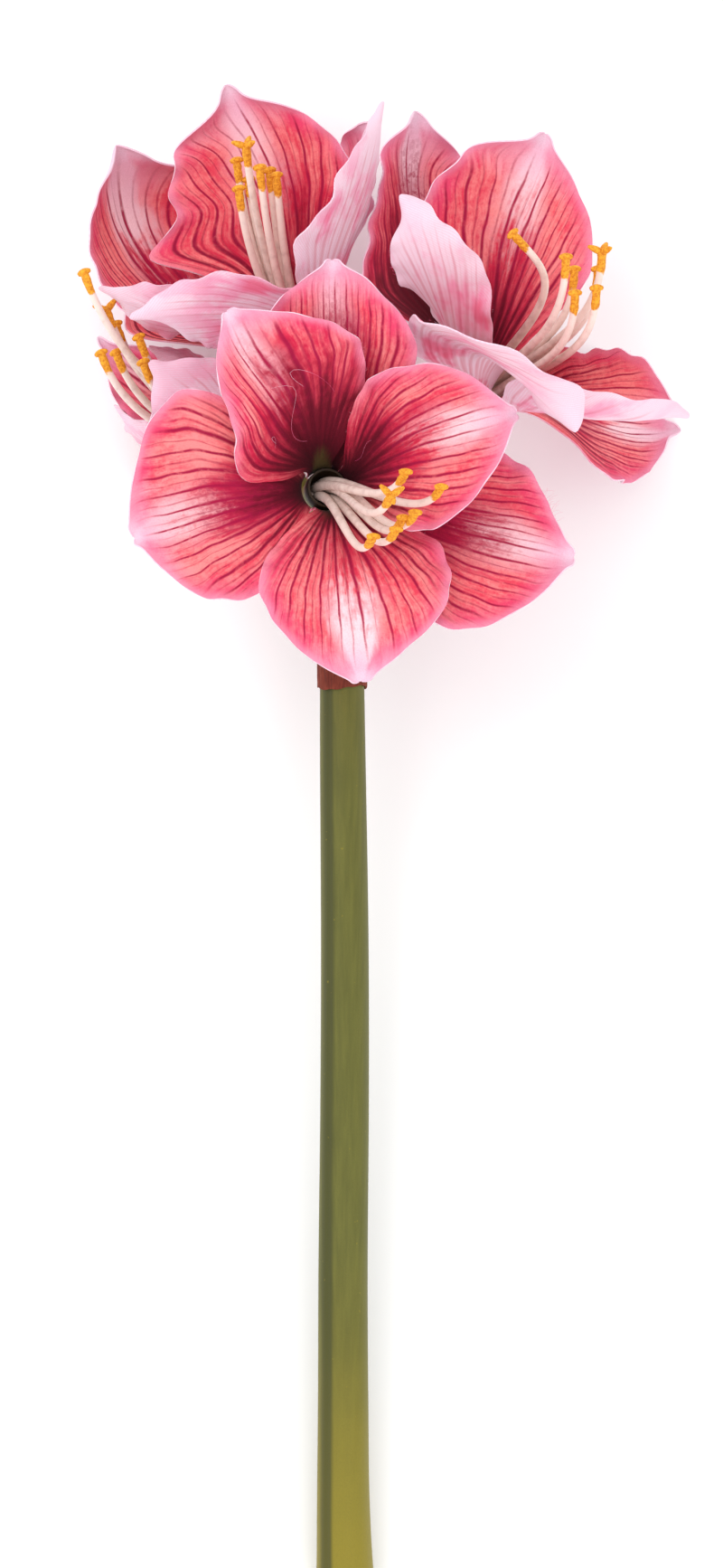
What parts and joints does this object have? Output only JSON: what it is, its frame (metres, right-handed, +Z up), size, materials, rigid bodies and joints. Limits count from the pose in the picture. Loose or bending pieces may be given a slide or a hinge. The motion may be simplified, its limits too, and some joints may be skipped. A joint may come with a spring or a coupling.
{
  "type": "amaryllis stem",
  "caption": "Cut amaryllis stem lying down: thick green scape, papery spathe collar, and a head of open funnel-shaped blooms with striped coral petals, stamens and pistils.",
  "frame": {"origin": "on the surface that the stem lies on, under the middle of its bounding box", "axes": "+Y along the stem from the cut end towards the blooms, +Z up from the surface, +X to the right as the camera looks down on it"},
  "size_m": [0.263, 0.6503, 0.1835],
  "materials": {
    "scape_green": "satin olive green, faintly streaked lengthwise",
    "spathe_brown": "matte papery reddish brown",
    "petal_coral": "matte woven fabric, coral pink with dark veins and pale rims",
    "filament_ivory": "satin ivory with golden yellow tips"
  },
  "bodies": {
    "root": {"stem": "scape_green", "spathe": "spathe_brown", "pedicel_front": "scape_green", "pedicel_left": "scape_green", "pedicel_right": "scape_green", "pedicel_rear": "scape_green", "cup_front": "scape_green", "cup_left": "scape_green", "cup_right": "scape_green", "cup_rear": "scape_green", "petal_front_left_top": "petal_coral", "petal_front_right_top": "petal_coral", "petal_front_bottom": "petal_coral", "petal_front_top": "petal_coral", "petal_front_left": "petal_coral", "petal_front_right": "petal_coral", "petal_left_far": "petal_coral", "petal_left_near_left": "petal_coral", "petal_left_near_right": "petal_coral", "petal_left_far_right": "petal_coral", "petal_left_far_left": "petal_coral", "petal_left_near": "petal_coral", "petal_right_far": "petal_coral", "petal_right_near_left": "petal_coral", "petal_right_near_right": "petal_coral", "petal_right_far_right": "petal_coral", "petal_right_far_left": "petal_coral", "petal_right_near": "petal_coral", "petal_rear_far": "petal_coral", "petal_rear_near_low": "petal_coral", "petal_rear_top": "petal_coral", "petal_rear_far_top": "petal_coral", "petal_rear_far_low": "petal_coral", "petal_rear_near": "petal_coral", "stamens_front": "filament_ivory", "stamens_left": "filament_ivory", "stamens_right": "filament_ivory", "stamens_rear": "filament_ivory"}
  },
  "joints": []
}
